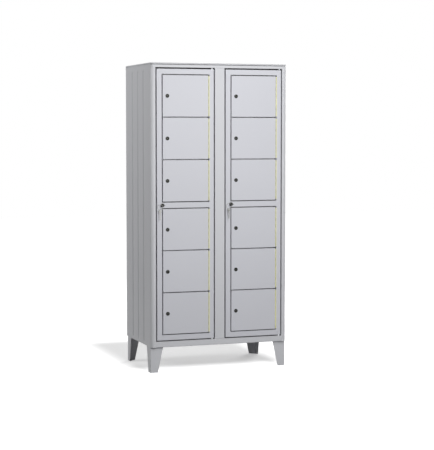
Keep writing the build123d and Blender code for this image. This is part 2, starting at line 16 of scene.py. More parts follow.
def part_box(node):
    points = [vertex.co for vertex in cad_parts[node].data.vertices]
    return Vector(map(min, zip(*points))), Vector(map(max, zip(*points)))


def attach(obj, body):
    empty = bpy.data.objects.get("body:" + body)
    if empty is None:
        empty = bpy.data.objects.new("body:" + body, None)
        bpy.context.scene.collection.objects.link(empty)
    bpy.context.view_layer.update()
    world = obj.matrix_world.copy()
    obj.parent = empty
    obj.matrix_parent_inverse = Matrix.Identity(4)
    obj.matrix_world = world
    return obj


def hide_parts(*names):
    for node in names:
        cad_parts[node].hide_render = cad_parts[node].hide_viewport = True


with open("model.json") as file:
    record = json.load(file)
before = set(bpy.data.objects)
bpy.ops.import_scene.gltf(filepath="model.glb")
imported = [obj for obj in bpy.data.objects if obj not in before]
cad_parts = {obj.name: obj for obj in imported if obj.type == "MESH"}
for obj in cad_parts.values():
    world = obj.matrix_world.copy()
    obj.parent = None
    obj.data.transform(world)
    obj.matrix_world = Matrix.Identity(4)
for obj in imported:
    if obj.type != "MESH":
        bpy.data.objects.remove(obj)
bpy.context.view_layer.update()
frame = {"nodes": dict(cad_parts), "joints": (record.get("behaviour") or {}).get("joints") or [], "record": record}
nodes = frame["nodes"]
joint_place = {joint["name"]: Vector(joint["pos_m"]) for joint in frame["joints"]}
SIDES = ("left", "right")
DOORS = range(1, 7)

# %% [markdown]
# The camera stands in front of the cabinet and to its left, a little above the middle of its height, with
# a long lens. A long lens from far away keeps the uprights nearly parallel. The same picture could come
# from a short lens close by, but then the near edge would loom over the far one.

# %% Camera
CAMERA_PLACE = (-2.709, -7.958, 1.4138)
CAMERA_TILT = radians(86.10)
CAMERA_TURN = radians(-19.252)
LENS_MM = 111.6

lens = bpy.data.cameras.new("camera")
lens.lens = LENS_MM
lens.sensor_width = 36.0
lens.clip_end = 100.0
camera = bpy.data.objects.new("camera", lens)
camera.location = CAMERA_PLACE
camera.rotation_euler = (CAMERA_TILT, 0.0, CAMERA_TURN)
bpy.context.scene.collection.objects.link(camera)
bpy.context.scene.camera = camera
print("camera", LENS_MM, "mm")

# %% [markdown]
# Materials in Blender are graphs of nodes. Most of the code that builds one is linking sockets, so one
# short helper makes a node and links what feeds it. A number sets a socket's own value, and a socket
# links to it.


# %% Helpers for material graphs
def put(tree, kind, inputs=None, **settings):
    """Adds a node to the tree, sets its properties and feeds its inputs by name or number."""
    node = tree.nodes.new(kind)
    for key, value in settings.items():
        setattr(node, key, value)
    for key, value in (inputs or {}).items():
        if isinstance(value, bpy.types.NodeSocket):
            tree.links.new(value, node.inputs[key])
        else:
            node.inputs[key].default_value = value
    return node


def new_group(name, inputs, outputs, kind="ShaderNodeTree"):
    """A node group with its sockets: inputs are (name, type, default), outputs are (name, type)."""
    tree = bpy.data.node_groups.new(name, kind)
    for label, socket_type, default in inputs:
        socket = tree.interface.new_socket(label, in_out="INPUT", socket_type=socket_type)
        if default is not None:
            socket.default_value = default
    for label, socket_type in outputs:
        tree.interface.new_socket(label, in_out="OUTPUT", socket_type=socket_type)
    return tree


def use_group(tree, group, inputs=None):
    """Places a shader group in a material's tree."""
    return put(tree, "ShaderNodeGroup", inputs, node_tree=group)


def maths(tree, operation, *values):
    """The result of a Math node. Each value is a number or a socket."""
    return put(tree, "ShaderNodeMath", dict(enumerate(values)), operation=operation).outputs[0]


def noise(tree, place, feature_size, detail):
    """Noise from 0 to 1, with features of about that size in metres."""
    scale = maths(tree, "DIVIDE", 1.0, feature_size)
    texture = put(tree, "ShaderNodeTexNoise", {"Vector": place, "Scale": scale, "Detail": detail})
    return texture.outputs["Fac"]


def ramp(tree, value, start, end):
    """0 where the value is at start, 1 where it is at end, and a straight rise between them."""
    ranged = put(tree, "ShaderNodeMapRange", {"Value": value, "From Min": start, "From Max": end})
    return ranged.outputs["Result"]


def between(tree, factor, low, high):
    """A factor from 0 to 1, mapped to the range from low to high."""
    ranged = put(tree, "ShaderNodeMapRange", {"Value": factor, "To Min": low, "To Max": high})
    return ranged.outputs["Result"]


def blend_colour(tree, factor, first, second):
    """Two colours mixed by a factor."""
    mix = put(tree, "ShaderNodeMix", {"Factor": factor, 6: first, 7: second}, data_type="RGBA")
    return mix.outputs[2]


# %% [markdown]
# Powder coat is plastic dust that melts onto the sheet. It flows nearly flat but keeps a fine texture
# like orange peel, and its gloss wanders a little over a large panel. Every painted part shares this, so
# it is a node group with its own inputs. A painted picture could do the same, but noise has no seams and
# holds at any distance.

# %% Powder coat texture
powder = new_group(
    "powder_texture",
    [
        ("Peel Size", "NodeSocketFloat", 0.0016),
        ("Cloud Size", "NodeSocketFloat", 0.35),
    ],
    [("Peel", "NodeSocketFloat"), ("Cloud", "NodeSocketFloat")],
)
group_in = put(powder, "NodeGroupInput")
group_out = put(powder, "NodeGroupOutput")
place = put(powder, "ShaderNodeTexCoord").outputs["Object"]
for size, detail, result in (("Peel Size", 2.0, "Peel"), ("Cloud Size", 3.0, "Cloud")):
    powder.links.new(noise(powder, place, group_in.outputs[size], detail), group_out.inputs[result])
print("group", powder.name, len(powder.nodes), "nodes")

# %% [markdown]
# Paint thins on folded edges and hands polish it there, so edges look a touch lighter and smoother. The
# Bevel node compares the true surface with a slightly rounded one, and the difference marks the edges.
# Noise breaks the mark up, since wear is never even. Pointiness could find edges too, but it needs dense
# meshes, and these sheets have few triangles.

# %% Edge wear
FLAT_AGREEMENT = 0.995
EDGE_AGREEMENT = 0.85
PATCH_EDGES = (0.4, 0.65)

edge_wear = new_group(
    "edge_wear",
    [
        ("Width", "NodeSocketFloat", 0.0012),
        ("Patch Size", "NodeSocketFloat", 0.04),
        ("Amount", "NodeSocketFloat", 0.5),
    ],
    [("Mask", "NodeSocketFloat")],
)
group_in = put(edge_wear, "NodeGroupInput")
group_out = put(edge_wear, "NodeGroupOutput")
rounded = put(edge_wear, "ShaderNodeBevel", {"Radius": group_in.outputs["Width"]}, samples=4)
flat = put(edge_wear, "ShaderNodeNewGeometry")
agree = put(
    edge_wear,
    "ShaderNodeVectorMath",
    {0: rounded.outputs["Normal"], 1: flat.outputs["Normal"]},
    operation="DOT_PRODUCT",
)
edge = ramp(edge_wear, agree.outputs["Value"], FLAT_AGREEMENT, EDGE_AGREEMENT)
place = put(edge_wear, "ShaderNodeTexCoord").outputs["Object"]
patches = noise(edge_wear, place, group_in.outputs["Patch Size"], 4.0)
worn = maths(edge_wear, "MULTIPLY", edge, ramp(edge_wear, patches, *PATCH_EDGES))
scaled = maths(edge_wear, "MULTIPLY", worn, group_in.outputs["Amount"])
edge_wear.links.new(scaled, group_out.inputs["Mask"])
print("group", edge_wear.name, len(edge_wear.nodes), "nodes")

# %% [markdown]
# Dust settles on what faces up, such as the top panel and the shelves, and stays thin and uneven. The
# surface's own normal says how far it faces up, and noise makes the film patchy.

# %% Settled dust
DUST_HOLDS_FROM = 0.6

dust = new_group(
    "settled_dust",
    [("Patch Size", "NodeSocketFloat", 0.12), ("Amount", "NodeSocketFloat", 0.3)],
    [("Mask", "NodeSocketFloat")],
)
group_in = put(dust, "NodeGroupInput")
group_out = put(dust, "NodeGroupOutput")
normal = put(dust, "ShaderNodeNewGeometry").outputs["Normal"]
upward = ramp(dust, put(dust, "ShaderNodeSeparateXYZ", {0: normal}).outputs["Z"], DUST_HOLDS_FROM, 1.0)
place = put(dust, "ShaderNodeTexCoord").outputs["Object"]
film = maths(dust, "MULTIPLY", upward, noise(dust, place, group_in.outputs["Patch Size"], 5.0))
scaled = maths(dust, "MULTIPLY", film, group_in.outputs["Amount"])
dust.links.new(scaled, group_out.inputs["Mask"])
print("group", dust.name, len(dust.nodes), "nodes")

# %% [markdown]
# Brushed and plated metal shows fine parallel scratches and a plating tone that wanders. Stretching the
# noise along one axis of the object turns grains into scratches.

# %% Plated metal texture
plating = new_group(
    "plating_texture",
    [("Grain", "NodeSocketVector", (900.0, 900.0, 60.0)), ("Tone Size", "NodeSocketFloat", 0.012)],
    [("Scratch", "NodeSocketFloat"), ("Tone", "NodeSocketFloat")],
)
group_in = put(plating, "NodeGroupInput")
group_out = put(plating, "NodeGroupOutput")
place = put(plating, "ShaderNodeTexCoord").outputs["Object"]
grain = group_in.outputs["Grain"]
stretched = put(plating, "ShaderNodeVectorMath", {0: place, 1: grain}, operation="MULTIPLY").outputs[0]
scratches = put(plating, "ShaderNodeTexNoise", {"Vector": stretched, "Scale": 1.0, "Detail": 3.0})
tones = noise(plating, place, group_in.outputs["Tone Size"], 2.0)
plating.links.new(scratches.outputs["Fac"], group_out.inputs["Scratch"])
plating.links.new(tones, group_out.inputs["Tone"])
print("group", plating.name, len(plating.nodes), "nodes")


# %% [markdown]
# The cabinet and its doors are light grey powder coat, a hair bluer on the small doors. The clouds shift
# the grey by a few percent, worn edges lighten it, and dust dulls what faces up. The coat is satin, so
# its specular level lies below the shader's usual 0.5. The peel goes to a Bump node, because it is far
# finer than any mesh here.


# %% Painted sheet
def new_material(name):
    """A new material, with its tree and its Principled shader."""
    material = bpy.data.materials.new(name)
    material.use_nodes = True
    return material, material.node_tree, material.node_tree.nodes["Principled BSDF"]


def toned(colour, factor):
    """A colour made lighter or darker by a factor."""
    return (*[min(1.0, factor * part) for part in colour], 1.0)


PAINT_SHEEN = 0.3
CLOUD_TONES = (0.97, 1.03)
WORN_TONE = 1.18
DUST_COLOUR = (0.52, 0.50, 0.47, 1.0)
GLOSS_SPREAD = 0.04
POLISH_BY_HANDS = 0.15
PEEL_DEPTH = 0.00008


def painted(name, colour, gloss_roughness, wear, dust_amount):
    """Powder-coated steel."""
    material, tree, shader = new_material(name)
    shader.inputs["Specular IOR Level"].default_value = PAINT_SHEEN
    texture = use_group(tree, powder).outputs
    edges = use_group(tree, edge_wear, {"Amount": wear}).outputs["Mask"]
    film = use_group(tree, dust, {"Amount": dust_amount}).outputs["Mask"]
    grey = blend_colour(tree, texture["Cloud"], *[toned(colour, tone) for tone in CLOUD_TONES])
    rubbed = blend_colour(tree, edges, grey, toned(colour, WORN_TONE))
    tree.links.new(blend_colour(tree, film, rubbed, DUST_COLOUR), shader.inputs["Base Color"])
    satin = between(tree, texture["Cloud"], gloss_roughness - GLOSS_SPREAD, gloss_roughness + GLOSS_SPREAD)
    polished = maths(tree, "MULTIPLY_ADD", edges, -POLISH_BY_HANDS, satin)
    tree.links.new(polished, shader.inputs["Roughness"])
    peel = put(tree, "ShaderNodeBump", {"Strength": 0.25, "Distance": PEEL_DEPTH, "Height": texture["Peel"]})
    tree.links.new(peel.outputs["Normal"], shader.inputs["Normal"])
    return material


BODY_GREY = (0.600, 0.606, 0.632)
DOOR_GREY = (0.592, 0.598, 0.640)
finish = {
    "body_paint": painted("body_paint", BODY_GREY, 0.48, 0.5, 0.35),
    "door_paint": painted("door_paint", DOOR_GREY, 0.46, 0.4, 0.2),
}
print("painted", sorted(finish))

# %% [markdown]
# The strip hinges are steel with a pale yellow zinc plating, the bolts and cams are plated bright, and the
# keys are nickel. All are metal with scratches and a wandering tone, so one function makes them, and only
# the two tones, the roughness and the direction of the scratches differ. The lock faces are nickel too,
# but given a very dark tone, and the split rings are dark spring steel.


# %% Plated metals
SCRATCH_ROUGHNESS = 0.16
SCRATCH_DEPTH = 0.00003
WORN_METAL_TONE = 1.25
METAL_EDGES = {"Width": 0.0005, "Patch Size": 0.004}


def plated(name, tone_low, tone_high, smoothness, grain, wear=0.3):
    """Plated steel, with its scratches along the axis whose grain is the smallest."""
    material, tree, shader = new_material(name)
    shader.inputs["Metallic"].default_value = 1.0
    texture = use_group(tree, plating, {"Grain": grain}).outputs
    edges = use_group(tree, edge_wear, {**METAL_EDGES, "Amount": wear}).outputs["Mask"]
    tone = blend_colour(tree, texture["Tone"], (*tone_low, 1.0), (*tone_high, 1.0))
    rubbed = blend_colour(tree, edges, tone, toned(tone_high, WORN_METAL_TONE))
    tree.links.new(rubbed, shader.inputs["Base Color"])
    rough = between(tree, texture["Scratch"], smoothness, smoothness + SCRATCH_ROUGHNESS)
    tree.links.new(rough, shader.inputs["Roughness"])
    height = {"Strength": 0.2, "Distance": SCRATCH_DEPTH, "Height": texture["Scratch"]}
    tree.links.new(put(tree, "ShaderNodeBump", height).outputs["Normal"], shader.inputs["Normal"])
    return material


UPRIGHT_GRAIN = (900.0, 900.0, 60.0)
TURNED_GRAIN = (900.0, 60.0, 900.0)
finish["hinge_plate"] = plated("hinge_plate", (0.42, 0.412, 0.20), (0.52, 0.51, 0.27), 0.42, UPRIGHT_GRAIN)
finish["zinc_plate"] = plated("zinc_plate", (0.56, 0.58, 0.60), (0.72, 0.73, 0.74), 0.30, UPRIGHT_GRAIN)
finish["key_metal"] = plated("key_metal", (0.38, 0.38, 0.37), (0.50, 0.50, 0.48), 0.34, UPRIGHT_GRAIN)
DARK_LOCK_TONES = ((0.016, 0.016, 0.015), (0.034, 0.034, 0.031))
finish["lock_metal"] = plated("lock_metal", *DARK_LOCK_TONES, 0.40, TURNED_GRAIN, 0.12)
ring_steel = plated("ring_steel", (0.15, 0.15, 0.145), (0.24, 0.24, 0.23), 0.38, UPRIGHT_GRAIN)
print("plated", [name for name in finish if name not in ("body_paint", "door_paint")], ring_steel.name)

# %% [markdown]
# The key's grip is moulded black plastic with a fine spark-eroded grain. The buffers are dark grey rubber,
# and the same grey on the windows' lips is painted shade in the gaps round the small doors. A darker grey in
# the front of the groove round the top panel is painted shade in that groove. All three are dielectric, so
# they differ in colour, roughness and grain only.


# %% Plastic, rubber and painted shade
MOULDED_TONES = (0.85, 1.15)
SCUFF_LIFT = 0.05
MOULDED_EDGES = {"Width": 0.0006, "Patch Size": 0.005, "Amount": 0.5}


def moulded(name, colour, roughness, grain_size, grain_depth):
    """Moulded plastic or rubber with a fine grain and slightly scuffed edges."""
    material, tree, shader = new_material(name)
    texture = use_group(tree, powder, {"Peel Size": grain_size, "Cloud Size": 0.02}).outputs
    edges = use_group(tree, edge_wear, MOULDED_EDGES).outputs["Mask"]
    base = blend_colour(tree, texture["Cloud"], *[toned(colour, tone) for tone in MOULDED_TONES])
    scuffed = blend_colour(tree, edges, base, (*[part + SCUFF_LIFT for part in colour], 1.0))
    tree.links.new(scuffed, shader.inputs["Base Color"])
    rough = between(tree, texture["Peel"], roughness - 0.06, roughness + 0.06)
    tree.links.new(rough, shader.inputs["Roughness"])
    height = {"Strength": 0.4, "Distance": grain_depth, "Height": texture["Peel"]}
    tree.links.new(put(tree, "ShaderNodeBump", height).outputs["Normal"], shader.inputs["Normal"])
    return material


finish["key_grip"] = moulded("key_grip", (0.018, 0.018, 0.019), 0.42, 0.0006, 0.00006)
# the dark rubber is real on the buffers and painted shade on the windows' lips
buffer_rubber = moulded("buffer_rubber", (0.12, 0.12, 0.12), 0.75, 0.0008, 0.00005)
# the dark grey in the groove round the top panel is painted shade
seam_sealant = moulded("seam_sealant", (0.14, 0.14, 0.15), 0.70, 0.0010, 0.00004)
print("moulded", finish["key_grip"].name, buffer_rubber.name, seam_sealant.name)

# %% [markdown]
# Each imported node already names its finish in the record. The node keeps its mesh, and only the material
# in its slots changes.

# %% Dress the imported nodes
slot_of = {part["node"]: part["material_slot"] for part in frame["record"]["subparts"]}


def dress(node_name, material, other=None, picks_other=None):
    """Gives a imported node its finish, and a second one to the faces that picks_other accepts."""
    mesh = nodes[node_name].data
    mesh.materials.clear()
    mesh.materials.append(material)
    if other:
        mesh.materials.append(other)
        for polygon in mesh.polygons:
            polygon.material_index = int(picks_other(polygon.center))


for node_name, slot_name in slot_of.items():
    dress(node_name, finish[slot_name])
print("dressed", len(slot_of), "nodes")

# %% [markdown]
# Some nodes hold two finishes. A small door has its plated hinge leaf, and a lock has its bright nut or
# screw behind its dark front. The lip round a service door's windows takes the dark rubber grey as painted
# shade, so the gaps round the small doors look dark. A imported node stays one mesh, so it gets a second
# material slot, and its faces are told apart by where they lie.

# %% Second finishes
HINGE_LEAF_REACH = 0.0028
LEAF_MARGIN = 0.00001
NUT_DEPTH = 0.0009
LIP_DEPTH = 0.0178
LIP_MARGIN = 0.0003


def dress_lock(name_pattern, lock_y):
    """Gives a lock and its cam a dark front, and bright plating to what lies behind the door's face."""
    for part in ("lock", "cam"):
        dress(
            name_pattern.format(part),
            finish["lock_metal"],
            finish["zinc_plate"],
            lambda centre: centre.y > lock_y + NUT_DEPTH,
        )


for side in SIDES:
    face_y = joint_place[f"service_lock_{side}_turn"].y
    dress_lock(f"service_{{}}_{side}", face_y)
    # the lip round the windows takes the dark rubber grey, painted shade in the gaps round the small doors
    dress(
        f"service_door_{side}",
        finish["door_paint"],
        buffer_rubber,
        lambda centre: abs(centre.y - face_y - LIP_DEPTH) < LIP_MARGIN,
    )
    for number in DOORS:
        dress_lock(f"door_{{}}_{side}_{number}", joint_place[f"door_lock_{side}_{number}_turn"].y)
        hinge_x = joint_place[f"small_door_{side}_{number}_swing"].x
        dress(
            f"small_door_{side}_{number}",
            finish["door_paint"],
            finish["hinge_plate"],
            lambda centre: centre.x > hinge_x - HINGE_LEAF_REACH + LEAF_MARGIN,
        )
print("second finishes on", sum(len(node.data.materials) == 2 for node in nodes.values()), "nodes")

# %% [markdown]
# A groove is pressed round the top panel, and its front part is coloured dark grey. It is too thin to need a
# shape of its own. The dark grey is painted shade, a dark line in the groove, and it is the finish of the
# groove's own faces. They are found by how far they lie below the top and behind the panel's rounded
# outside.

# %% Painted shade in the groove
GROOVE_BELOW_TOP = (0.0069, 0.0116)
GROOVE_REACH = 0.0045
EDGE_RADIUS = 0.020
top_low, top_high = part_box("top_panel")


def in_front_groove(centre):
    """Whether a face of the top panel lies in the groove's front part, by its height and its depth."""
    if not GROOVE_BELOW_TOP[0] < top_high.z - centre.z < GROOVE_BELOW_TOP[1]:
        return False
    side_depth = min(centre.x - top_low.x, top_high.x - centre.x)
    front_depth = centre.y - top_low.y
    if max(side_depth, front_depth) < EDGE_RADIUS:
        off_corner = Vector((EDGE_RADIUS - side_depth, EDGE_RADIUS - front_depth))
        return EDGE_RADIUS - off_corner.length < GROOVE_REACH
    return front_depth < GROOVE_REACH


# the groove's front faces take a dark grey, painted shade in the groove
dress("top_panel", finish["body_paint"], seam_sealant, in_front_groove)
groove_shade_faces = sum(polygon.material_index for polygon in nodes["top_panel"].data.polygons)
print("painted shade on", groove_shade_faces, "faces of the top panel")

# %% [markdown]
# A piece that is made here ends as a plain mesh at the origin, as the imported nodes are. These helpers
# turn a profile round an axis into a closed solid, apply an object's modifiers into its mesh, and say
# which body it rides on.


# %% Helpers for pieces
def mesh_object(name, mesh):
    """An object for a mesh, linked to the scene."""
    piece = bpy.data.objects.new(name, mesh)
    bpy.context.scene.collection.objects.link(piece)
    return piece


def lathe(name, profile, steps, material):
    """A closed solid turned round Z. The profile's (radius, height) points start and end on the axis."""
    shape = bmesh.new()
    rings = []
    for radius, level in profile:
        if radius == 0.0:
            rings.append([shape.verts.new((0.0, 0.0, level))])
        else:
            turns = [2.0 * pi * step / steps for step in range(steps)]
            rings.append([shape.verts.new((radius * cos(turn), radius * sin(turn), level)) for turn in turns])
    for lower, upper in zip(rings, rings[1:]):
        for step in range(steps):
            after = (step + 1) % steps
            corners = [lower[step % len(lower)], lower[after % len(lower)]]
            corners += [upper[after % len(upper)], upper[step % len(upper)]]
            shape.faces.new(list(dict.fromkeys(corners)))
    bmesh.ops.recalc_face_normals(shape, faces=shape.faces)
    for face in shape.faces:
        face.smooth = True
    mesh = bpy.data.meshes.new(name)
    shape.to_mesh(mesh)
    shape.free()
    mesh.materials.append(material)
    return mesh_object(name, mesh)


def settle(piece):
    """Applies the piece's modifiers, or a curve's thickness, into a plain mesh and drops the original."""
    graph = bpy.context.evaluated_depsgraph_get()
    mesh = bpy.data.meshes.new_from_object(piece.evaluated_get(graph), depsgraph=graph)
    mesh.transform(piece.matrix_world)
    name = piece.name
    bpy.data.objects.remove(piece)
    mesh.name = name
    return mesh_object(name, mesh)


def fit(piece, body, slot_name, *replaced):
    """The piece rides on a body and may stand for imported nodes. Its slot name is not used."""
    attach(piece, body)
    if replaced:
        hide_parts(*replaced)
    print(piece.name, len(piece.data.polygons), "faces on", body)


# %% [markdown]
# Rivets, buffers and a grip's ribs repeat in straight rows, and some rows repeat down the doors. One
# Geometry Nodes tree covers them: a line of points, a second line on each of its points, a third on each
# of those, and the part on every point that results. The part, the counts and the steps are named inputs,
# so each use only fills them in. Realize Instances turns the copies into real faces.

# %% Rows of one part
rows = new_group(
    "rows_of_parts",
    [
        ("Part", "NodeSocketObject", None),
        ("Start", "NodeSocketVector", (0.0, 0.0, 0.0)),
        ("Turn", "NodeSocketVector", (0.0, 0.0, 0.0)),
        ("Count 1", "NodeSocketInt", 1),
        ("Step 1", "NodeSocketVector", (0.0, 0.0, 0.0)),
        ("Count 2", "NodeSocketInt", 1),
        ("Step 2", "NodeSocketVector", (0.0, 0.0, 0.0)),
        ("Count 3", "NodeSocketInt", 1),
        ("Step 3", "NodeSocketVector", (0.0, 0.0, 0.0)),
        ("Finish", "NodeSocketMaterial", None),
    ],
    [("Geometry", "NodeSocketGeometry")],
    "GeometryNodeTree",
)
group_in = put(rows, "NodeGroupInput")
group_out = put(rows, "NodeGroupOutput")
given = group_in.outputs
first_line = {"Count": given["Count 1"], "Start Location": given["Start"], "Offset": given["Step 1"]}
points = put(rows, "GeometryNodeMeshLine", first_line).outputs[0]
for level in (2, 3):
    next_line = {"Count": given[f"Count {level}"], "Offset": given[f"Step {level}"]}
    line = put(rows, "GeometryNodeMeshLine", next_line)
    copies = put(rows, "GeometryNodeInstanceOnPoints", {"Points": points, "Instance": line.outputs[0]})
    points = put(rows, "GeometryNodeRealizeInstances", {"Geometry": copies.outputs[0]}).outputs[0]
part = put(rows, "GeometryNodeObjectInfo", {"Object": given["Part"]})
turn = put(rows, "FunctionNodeEulerToRotation", {0: given["Turn"]})
copies = put(
    rows,
    "GeometryNodeInstanceOnPoints",
    {"Points": points, "Instance": part.outputs["Geometry"], "Rotation": turn.outputs[0]},
)
real = put(rows, "GeometryNodeRealizeInstances", {"Geometry": copies.outputs[0]})
coated = put(rows, "GeometryNodeSetMaterial", {"Geometry": real.outputs[0], "Material": given["Finish"]})
rows.links.new(coated.outputs[0], group_out.inputs["Geometry"])
print("tree", rows.name, len(rows.nodes), "nodes")

# %% [markdown]
# A tree works as a modifier on an object. The next helper gives an empty object the tree, fills in its
# inputs and keeps the mesh that results. The small doors stand three to a window in two windows, so a
# row that repeats at every door always has the same two outer steps.


# %% Helpers for rows
def grown(name, tree, inputs):
    """A plain mesh object that a Geometry Nodes tree makes from the named inputs."""
    seed = mesh_object(name, bpy.data.meshes.new(name + "_seed"))
    modifier = seed.modifiers.new("grow", "NODES")
    modifier.node_group = tree
    sockets = {item.name: item.identifier for item in tree.interface.items_tree if item.in_out == "INPUT"}
    for key, value in inputs.items():
        modifier[sockets[key]] = value
    return settle(seed)


def at_each_door(levels):
    """The inputs that repeat a row at all six doors of a column, from their sorted heights."""
    return {
        "Count 2": 3,
        "Step 2": (0.0, 0.0, levels[1] - levels[0]),
        "Count 3": 2,
        "Step 3": (0.0, 0.0, levels[3] - levels[0]),
    }


door_levels = {
    side: sorted(joint_place[f"small_door_{side}_{number}_swing"].z for number in DOORS) for side in SIDES
}
print("door heights", {side: [round(level, 3) for level in levels] for side, levels in door_levels.items()})

# %% [markdown]
# A strip hinge is riveted to the door's edge and to the window's fold. The heads are low, because they
# pass each other in the narrow gap beside the knuckles. One low domed head is turned as a lathe would
# turn it, with few faces because there are many copies. The tree above sets four on each leaf. The leaf
# that is fixed to the service door rides with it, and the other rides with its small door.

# %% Hinge rivets
HEAD_SINK = 0.0002
HINGE_RIVETS = 4
HINGE_RIVET_END = 0.018
HINGE_RIVET_BACK = 0.0095
LEAF_FACE = 0.0018
FACING_LEFT = (0.0, -pi / 2, 0.0)
FACING_RIGHT = (0.0, pi / 2, 0.0)
FACING_FRONT = (pi / 2, 0.0, 0.0)
FACING_BACK = (-pi / 2, 0.0, 0.0)


def domed_head(name, radius, rise, material, steps=12):
    """A low domed head that stands on the plane z = 0, sunk a little so that no gap shows under it."""
    profile = [(0.0, -HEAD_SINK), (radius, -HEAD_SINK), (radius, 0.25 * rise)]
    profile += [(0.80 * radius, 0.75 * rise), (0.42 * radius, rise), (0.0, rise)]
    return lathe(name, profile, steps, material)


hinge_head = domed_head("hinge_rivet_head", 0.0021, 0.0008, finish["hinge_plate"])
for side in SIDES:
    face_y = joint_place[f"service_lock_{side}_turn"].y
    strips_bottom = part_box(f"hinge_strips_{side}")[0].z
    hinge_x = joint_place[f"small_door_{side}_1_swing"].x
    levels = door_levels[side]
    hinge_length = 2.0 * (levels[0] - strips_bottom)
    row_step = (hinge_length - 2.0 * HINGE_RIVET_END) / (HINGE_RIVETS - 1)
    row = {
        "Part": hinge_head,
        "Count 1": HINGE_RIVETS,
        "Step 1": (0.0, 0.0, row_step),
        "Finish": finish["hinge_plate"],
    }
    start = (hinge_x + LEAF_FACE, face_y + HINGE_RIVET_BACK, strips_bottom + HINGE_RIVET_END)
    fixed = grown(
        f"fixed_hinge_rivets_{side}",
        rows,
        {**row, "Start": start, "Turn": FACING_LEFT, **at_each_door(levels)},
    )
    fit(fixed, f"service_door_{side}", "hinge_plate")
    for number in DOORS:
        bottom = joint_place[f"small_door_{side}_{number}_swing"].z - hinge_length / 2
        start = (hinge_x - LEAF_FACE, face_y + HINGE_RIVET_BACK, bottom + HINGE_RIVET_END)
        moving = grown(
            f"door_hinge_rivets_{side}_{number}",
            rows,
            {**row, "Start": start, "Turn": FACING_RIGHT},
        )
        fit(moving, f"small_door_{side}_{number}", "hinge_plate")
bpy.data.objects.remove(hinge_head)

# %% [markdown]
# A steel door that shuts on a steel lip rattles, so each small door closes on two thin rubber buffers at
# its lock side. They are flat discs with a soft rim, glued to the lip behind the door, and the same tree
# sets them in pairs.

# %% Rubber buffers
BUFFER_RADIUS = 0.0011
BUFFER_RISE = 0.0006
BUFFER_END = 0.022
BUFFER_INSET = 0.0012
LIP_BEHIND_DOOR = 0.0008
buffer_profile = [(0.0, -HEAD_SINK), (BUFFER_RADIUS, -HEAD_SINK), (BUFFER_RADIUS, 0.6 * BUFFER_RISE)]
buffer_profile += [(0.86 * BUFFER_RADIUS, BUFFER_RISE), (0.0, BUFFER_RISE)]
buffer_disc = lathe("buffer_disc", buffer_profile, 16, buffer_rubber)
for side in SIDES:
    pan_low, pan_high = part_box(f"small_door_{side}_1")
    levels = door_levels[side]
    half_pan = (pan_high.z - pan_low.z) / 2
    bottom = levels[0] - half_pan + BUFFER_END
    buffers = grown(
        f"door_buffers_{side}",
        rows,
        {
            "Part": buffer_disc,
            "Start": (pan_low.x + BUFFER_INSET, pan_high.y + LIP_BEHIND_DOOR, bottom),
            "Turn": FACING_FRONT,
            "Count 1": 2,
            "Step 1": (0.0, 0.0, 2.0 * (half_pan - BUFFER_END)),
            **at_each_door(levels),
            "Finish": buffer_rubber,
        },
    )
    fit(buffers, f"service_door_{side}", "key_grip")
bpy.data.objects.remove(buffer_disc)

# %% [markdown]
# The back panel is a plain sheet. One row of blind rivets holds it to the flange of the partition, a
# little beside its middle. Their wide flat heads show outside, low enough to stay within the side
# panels' folds.

# %% Back rivets
BACK_HEAD_RADIUS = 0.0045
BACK_HEAD_RISE = 0.0008
BACK_RIVETS = 12
BACK_RIVET_END = 0.06
PARTITION_FLANGE_MIDDLE = -0.008
back_low, back_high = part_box("back_panel")
back_head = domed_head("back_rivet_head", BACK_HEAD_RADIUS, BACK_HEAD_RISE, finish["body_paint"], 16)
back_step = (back_high.z - back_low.z - 2.0 * BACK_RIVET_END) / (BACK_RIVETS - 1)
column = grown(
    "partition_rivets",
    rows,
    {
        "Part": back_head,
        "Start": (PARTITION_FLANGE_MIDDLE, back_high.y, back_low.z + BACK_RIVET_END),
        "Turn": FACING_BACK,
        "Count 1": BACK_RIVETS,
        "Step 1": (0.0, 0.0, back_step),
        "Finish": finish["body_paint"],
    },
)
fit(column, "cabinet", "body_paint")
bpy.data.objects.remove(back_head)

# %% [markdown]
# Flat parts such as a key's bow and blade are cut from plate. Each is drawn as an outline with its holes
# on a 2D curve, which fills it, thickens it and rounds its edges at once. Drawing the faces by hand in a
# mesh would take far more code for the same shape.


# %% Helpers for plates
def corner(centre_x, centre_y, radius, start_deg, end_deg, steps=6):
    """Points on an arc, for one rounded corner of an outline."""
    turns = [radians(start_deg + (end_deg - start_deg) * step / steps) for step in range(steps + 1)]
    return [(centre_x + radius * cos(turn), centre_y + radius * sin(turn)) for turn in turns]


def round_hole(centre_x, centre_y, radius):
    """A full circle of 24 points."""
    return corner(centre_x, centre_y, radius, 0, 345, 23)


def rectangle(half_width, low, high):
    """A sharp-cornered outline, centred on x = 0."""
    return [(-half_width, low), (half_width, low), (half_width, high), (-half_width, high)]


def plate(name, outlines, thickness, edge, place, material):
    """A flat plate with rounded edges. The first outline is its rim and the others are holes."""
    curve = bpy.data.curves.new(name, "CURVE")
    curve.dimensions = "2D"
    curve.fill_mode = "BOTH"
    curve.extrude = thickness / 2 - edge
    curve.bevel_depth = edge
    curve.bevel_resolution = 2
    curve.offset = -edge
    curve.materials.append(material)
    for outline in outlines:
        spline = curve.splines.new("POLY")
        spline.points.add(len(outline) - 1)
        for point, (x, y) in zip(spline.points, outline):
            point.co = (x, y, 0.0, 1.0)
        spline.use_cyclic_u = True
    drawn = bpy.data.objects.new(name, curve)
    bpy.context.scene.collection.objects.link(drawn)
    bpy.context.view_layer.update()
    cut = settle(drawn)
    shape = bmesh.new()
    shape.from_mesh(cut.data)
    bmesh.ops.remove_doubles(shape, verts=shape.verts, dist=1e-6)
    shape.transform(place)
    bmesh.ops.recalc_face_normals(shape, faces=shape.faces)
    shape.to_mesh(cut.data)
    shape.free()
    return cut


